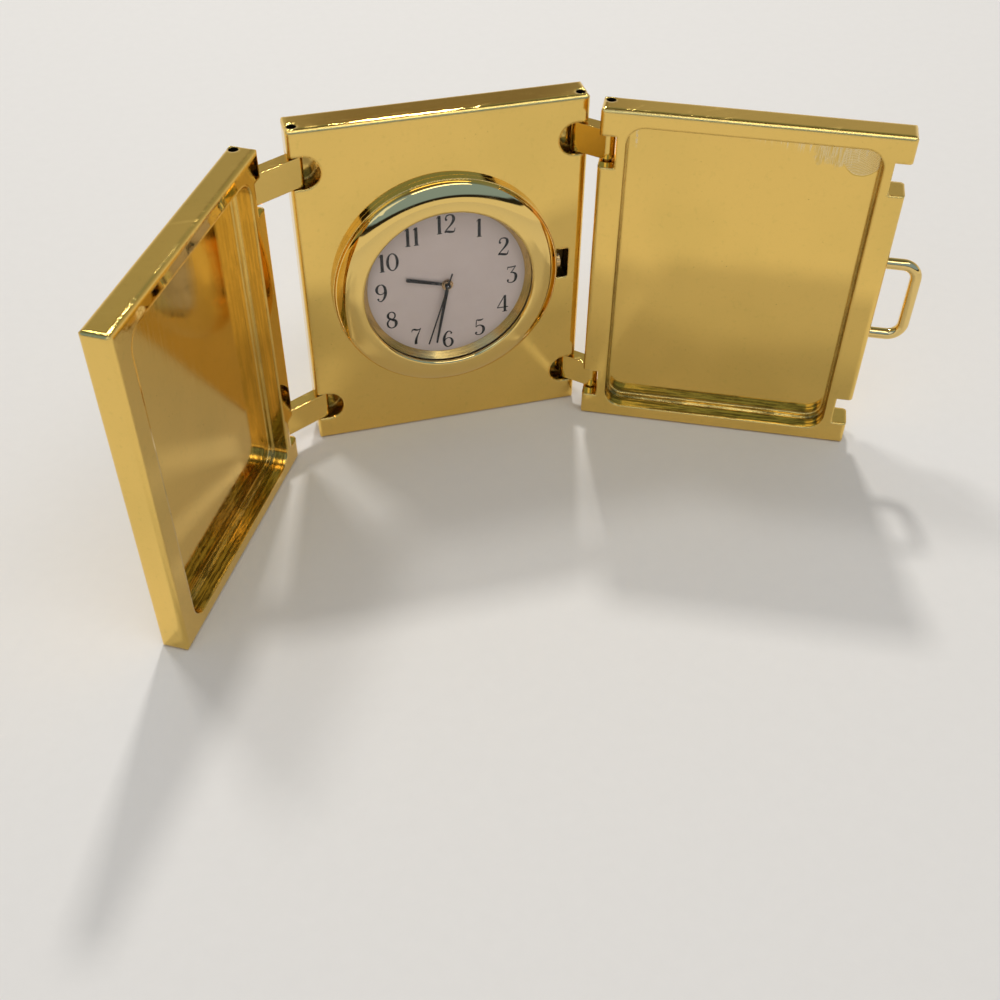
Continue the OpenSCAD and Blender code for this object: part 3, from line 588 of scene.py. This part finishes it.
FIGURE_H = 3.2
FIGURE_RING = 10.8
FIGURE_WEIGHT = 1.15
FIGURE_GAP = 0.02
INK_T = 0.012
ELLIPSE_STEPS = 16
CURVE_STEPS = 5
DOT_STEPS = 20


def ellipse(middle_x, middle_y, reach_x, reach_y, side, end, heavy=0.0):
    """A closed round stroke: side wide at its sides, end wide at top and bottom, heavy wider on its right."""
    points = []
    for step in range(ELLIPSE_STEPS):
        turn = 2 * math.pi * step / ELLIPSE_STEPS
        across = math.cos(turn)
        width = end + (side + heavy * across - end) * across * across
        points.append((middle_x + reach_x * across, middle_y + reach_y * math.sin(turn), width))
    return points + points[:1]


def turned_over(width, strokes, ends):
    """A figure turned by half a turn."""
    return (width, [[(width - x, 1 - y, half) for x, y, half in stroke] for stroke in strokes],
            [(width - x, 1 - y, r) for x, y, r in ends])


FIGURES = {
    "0": (0.62, [ellipse(0.31, 0.5, 0.245, 0.475, 0.062, 0.024)], []),
    "1": (0.40, [[(0.20, 0.02, 0.068), (0.20, 0.5, 0.068), (0.20, 1.0, 0.066)],
                 [(0.07, 0.018, 0.018), (0.33, 0.018, 0.018)],
                 [(0.21, 0.985, 0.02), (0.14, 0.93, 0.022), (0.06, 0.87, 0.016)]], []),
    "2": (0.60, [[(0.085, 0.77, 0.03), (0.15, 0.93, 0.028), (0.30, 0.985, 0.026), (0.45, 0.92, 0.045),
                  (0.505, 0.76, 0.066), (0.44, 0.56, 0.055), (0.29, 0.36, 0.034), (0.13, 0.18, 0.024),
                  (0.04, 0.06, 0.022)],
                 [(0.04, 0.05, 0.024), (0.17, 0.085, 0.05), (0.34, 0.045, 0.055), (0.48, 0.04, 0.04),
                  (0.54, 0.12, 0.02), (0.56, 0.24, 0.016)]], [(0.125, 0.735, 0.062)]),
    "3": (0.58, [[(0.07, 0.80, 0.016), (0.085, 0.95, 0.02)],
                 [(0.08, 0.945, 0.026), (0.20, 0.93, 0.03), (0.36, 0.94, 0.03), (0.50, 0.975, 0.02)],
                 [(0.50, 0.97, 0.018), (0.38, 0.78, 0.024), (0.26, 0.61, 0.022)],
                 [(0.22, 0.60, 0.018), (0.36, 0.60, 0.030), (0.49, 0.50, 0.055), (0.52, 0.32, 0.066),
                  (0.46, 0.11, 0.045), (0.30, 0.02, 0.024), (0.14, 0.05, 0.024), (0.07, 0.15, 0.026)]],
          [(0.105, 0.175, 0.055)]),
    "4": (0.62, [[(0.41, 0.985, 0.02), (0.22, 0.63, 0.024), (0.03, 0.285, 0.022)],
                 [(0.02, 0.275, 0.024), (0.30, 0.275, 0.024), (0.60, 0.275, 0.024)],
                 [(0.43, 0.02, 0.058), (0.43, 0.5, 0.058), (0.43, 1.0, 0.052)],
                 [(0.30, 0.018, 0.018), (0.56, 0.018, 0.018)]], []),
    "5": (0.60, [[(0.13, 0.955, 0.02), (0.27, 0.93, 0.042), (0.40, 0.93, 0.036), (0.50, 0.985, 0.014)],
                 [(0.135, 0.96, 0.02), (0.12, 0.74, 0.020), (0.105, 0.52, 0.016)],
                 [(0.105, 0.515, 0.018), (0.20, 0.595, 0.024), (0.33, 0.61, 0.028), (0.48, 0.50, 0.055),
                  (0.52, 0.31, 0.066), (0.45, 0.11, 0.045), (0.29, 0.02, 0.024), (0.14, 0.05, 0.024),
                  (0.07, 0.14, 0.026)]], [(0.115, 0.165, 0.058)]),
    "6": (0.60, [[(0.49, 0.86, 0.022), (0.40, 0.965, 0.024), (0.28, 0.965, 0.030), (0.15, 0.80, 0.050),
                  (0.075, 0.52, 0.066), (0.10, 0.22, 0.055), (0.20, 0.05, 0.034), (0.31, 0.02, 0.024),
                  (0.44, 0.08, 0.045), (0.52, 0.27, 0.062), (0.48, 0.46, 0.046), (0.36, 0.57, 0.024),
                  (0.22, 0.55, 0.022), (0.10, 0.42, 0.018)]], [(0.465, 0.845, 0.052)]),
    "7": (0.58, [[(0.06, 0.79, 0.014), (0.075, 0.90, 0.02), (0.09, 0.975, 0.014)],
                 [(0.08, 0.915, 0.024), (0.18, 0.95, 0.046), (0.32, 0.905, 0.046), (0.44, 0.91, 0.028),
                  (0.54, 0.98, 0.014)],
                 [(0.53, 0.965, 0.018), (0.42, 0.70, 0.028), (0.31, 0.44, 0.046), (0.26, 0.20, 0.062),
                  (0.255, 0.02, 0.066)]], []),
    "8": (0.60, [ellipse(0.30, 0.765, 0.185, 0.215, 0.046, 0.024, -0.012),
                 ellipse(0.30, 0.29, 0.225, 0.27, 0.056, 0.024, 0.012),
                 [(0.16, 0.66, 0.030), (0.28, 0.55, 0.045), (0.44, 0.42, 0.034)]], []),
}
FIGURES["9"] = turned_over(*FIGURES["6"])


def smooth(points, steps):
    """Points along a curve through the given ones."""
    if len(points) == 2:
        return points
    closed = points[0] == points[-1]
    before = points[-2] if closed else points[0]
    after = points[1] if closed else points[-1]
    padded = [before] + points + [after]
    result = []
    for i in range(1, len(padded) - 2):
        a, b, c, d = (Vector(p) for p in padded[i - 1:i + 3])
        for step in range(steps):
            t = step / steps
            result.append(0.5 * (2 * b + (c - a) * t + (2 * a - 5 * b + 4 * c - d) * t * t
                                 + (3 * b - a - 3 * c + d) * t * t * t))
    result.append(Vector(padded[-2]))
    return [tuple(p) for p in result]


def ribbon(points):
    """Left and right edge of a stroke."""
    left, right = [], []
    for i, (x, y, half) in enumerate(points):
        first = points[max(i - 1, 0)]
        last = points[min(i + 1, len(points) - 1)]
        if points[0] == points[-1] and i in (0, len(points) - 1):
            first, last = points[-2], points[1]
        run = Vector((last[0] - first[0], last[1] - first[1])).normalized()
        left.append((x - run.y * half, y + run.x * half))
        right.append((x + run.y * half, y - run.x * half))
    return left, right


def dot(x, y, r):
    """Outline of a round end."""
    turns = [2 * math.pi * step / DOT_STEPS for step in range(DOT_STEPS)]
    return [(x + r * math.cos(turn), y + r * math.sin(turn)) for turn in turns]


def figure_faces(text, middle_x, middle_z):
    """Flat faces of one number, upright, with its middle at (middle_x, middle_z)."""
    total = sum(FIGURES[character][0] for character in text) + FIGURE_GAP * (len(text) - 1)
    start = middle_x - total * FIGURE_H / 2
    base = middle_z - FIGURE_H / 2
    faces = []
    for character in text:
        width, strokes, ends = FIGURES[character]
        outlines = []
        for stroke in strokes:
            heavy = [(x, y, half * FIGURE_WEIGHT) for x, y, half in smooth(stroke, CURVE_STEPS)]
            left, right = ribbon(heavy)
            outlines += [(left[i], right[i], right[i + 1], left[i + 1]) for i in range(len(left) - 1)]
        outlines += [dot(*end) for end in ends]
        faces += [[(start + x * FIGURE_H, base + y * FIGURE_H) for x, y in outline] for outline in outlines]
        start += (width + FIGURE_GAP) * FIGURE_H
    return faces


def solid(mesh, outlines, front, back):
    """Adds flat faces as thin solids between two distances along Y. Each outline is a list of (x, z)."""
    for outline in outlines:
        near = [mesh.verts.new((x * MM, front * MM, z * MM)) for x, z in outline]
        far = [mesh.verts.new((x * MM, back * MM, z * MM)) for x, z in outline]
        mesh.faces.new(near)
        mesh.faces.new(far[::-1])
        for i in range(len(outline)):
            j = (i + 1) % len(outline)
            mesh.faces.new((near[j], near[i], far[i], far[j]))


def make_object(name, mesh, body, material):
    bmesh.ops.remove_doubles(mesh, verts=mesh.verts, dist=1e-8)
    bmesh.ops.recalc_face_normals(mesh, faces=mesh.faces)
    data = bpy.data.meshes.new(name)
    mesh.to_mesh(data)
    mesh.free()
    piece = bpy.data.objects.new(name, data)
    bpy.context.scene.collection.objects.link(piece)
    data.materials.append(material)
    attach(piece, body)
    return piece


numerals = bmesh.new()
for hour in range(1, 13):
    angle = math.radians(30 * hour)
    place = (FIGURE_RING * math.sin(angle), HEAD_Z + FIGURE_RING * math.cos(angle))
    solid(numerals, figure_faces(str(hour), *place), DIAL_FRONT_Y - INK_T, DIAL_FRONT_Y)
make_object("dial_numerals", numerals, "centre", lacquer("printed_ink"))


# Floor, world and lights

def pale_floor():
    """A pale floor that takes the object's shadow near it, and fades into the horizon's colour far off."""
    mesh = bpy.data.meshes.new("floor")
    reach = FLOOR_HALF
    corners = [(-reach, -reach, 0), (reach, -reach, 0), (reach, reach, 0), (-reach, reach, 0)]
    mesh.from_pydata(corners, [], [(0, 1, 2, 3)])
    floor = bpy.data.objects.new("floor", mesh)
    bpy.context.scene.collection.objects.link(floor)
    material, graph, shader, spot = new_material("floor")
    paper = graph.noise(spot, 0.4, 5.0, 0.6)
    graph.put(shader.inputs["Base Color"], graph.mix(paper, (0.79, 0.77, 0.74, 1), (0.82, 0.80, 0.77, 1)))
    shader.inputs["Roughness"].default_value = 0.6
    shader.inputs["Specular IOR Level"].default_value = 0.2
    seen = ray_kind(graph, "Is Camera Ray", "Is Glossy Ray", "Is Transmission Ray")
    fade = graph.times(graph.ramp(graph.length(spot), *FLOOR_FADE), seen)
    glow = graph.add("Emission", (HORIZON, 1.0))
    show(graph, material, graph.add("MixShader", (fade, shader.outputs[0], glow.outputs[0])).outputs[0])
    mesh.materials.append(material)


def studio_world():
    """A plain wall and ceiling for the camera, an even grey light, and a plain room for polished metal."""
    world = bpy.data.worlds.new("studio")
    bpy.context.scene.world = world
    world.use_nodes = True
    graph = Graph(world.node_tree)
    direction = graph.add("TexCoord").outputs["Generated"]
    across, along, rise = graph.split(direction)
    wall = graph.mix(graph.ramp(rise, 0.12, 0.42), HORIZON, (0.40, 0.38, 0.30, 1))
    upper = graph.mix(graph.ramp(rise, 0.45, 0.90), wall, (0.14, 0.20, 0.20, 1))

    # What polished metal shows of the room: a dark doorway behind, a dark rail and a cool ceiling in front
    doorway = graph.between(graph.math("DIVIDE", across, graph.most(along, 0.05)), 0.10, 0.36, 0.06)
    doorway = graph.times(doorway, graph.between(rise, 0.25, 0.60, 0.05))
    room = graph.mix(graph.times(doorway, 0.7), upper, (0.16, 0.12, 0.07, 1))
    ahead = graph.ramp(along, -0.30, -0.05, 1.0, 0.0)
    room = graph.mix(graph.times(ahead, graph.ramp(rise, 0.11, 0.14)), room, (0.02, 0.02, 0.02, 1))
    room = graph.mix(graph.times(ahead, graph.ramp(rise, 0.22, 0.27)), room, (0.24, 0.40, 0.86, 1))
    room = graph.mix(graph.ramp(rise, 0.86, 0.95), room, (0.14, 0.13, 0.09, 1))

    colour = graph.mix(ray_kind(graph, "Is Camera Ray", "Is Transmission Ray"), (0.36, 0.36, 0.36, 1), upper)
    colour = graph.mix(ray_kind(graph, "Is Glossy Ray"), colour, room)
    background = world.node_tree.nodes["Background"]
    graph.put(background.inputs["Color"], colour)
    background.inputs["Strength"].default_value = 1.0


def area_light(name, place, size, watts, colour=(1, 1, 1)):
    """A soft light of size (x, y) at place, turned to the middle of the clock."""
    data = bpy.data.lights.new(name, "AREA")
    data.shape = "RECTANGLE"
    data.size, data.size_y = size
    data.energy = watts
    data.color = colour
    light = bpy.data.objects.new(name, data)
    bpy.context.scene.collection.objects.link(light)
    light.location = place
    light.rotation_euler = (Vector((0, 0, 0.03)) - Vector(place)).to_track_quat("-Z", "Y").to_euler()


pale_floor()
studio_world()
area_light("key", (0.16, 0.58, 0.80), (0.08, 0.08), 3.3, (1.0, 0.98, 0.95))
area_light("second", (-0.22, 0.45, 0.90), (0.16, 0.16), 1.9, (1.0, 0.99, 0.97))
area_light("overhead", (0.12, -0.42, 0.85), (0.75, 0.22), 1.5)
area_light("fill", (-0.7, -0.75, 0.75), (0.6, 0.6), 0.7)
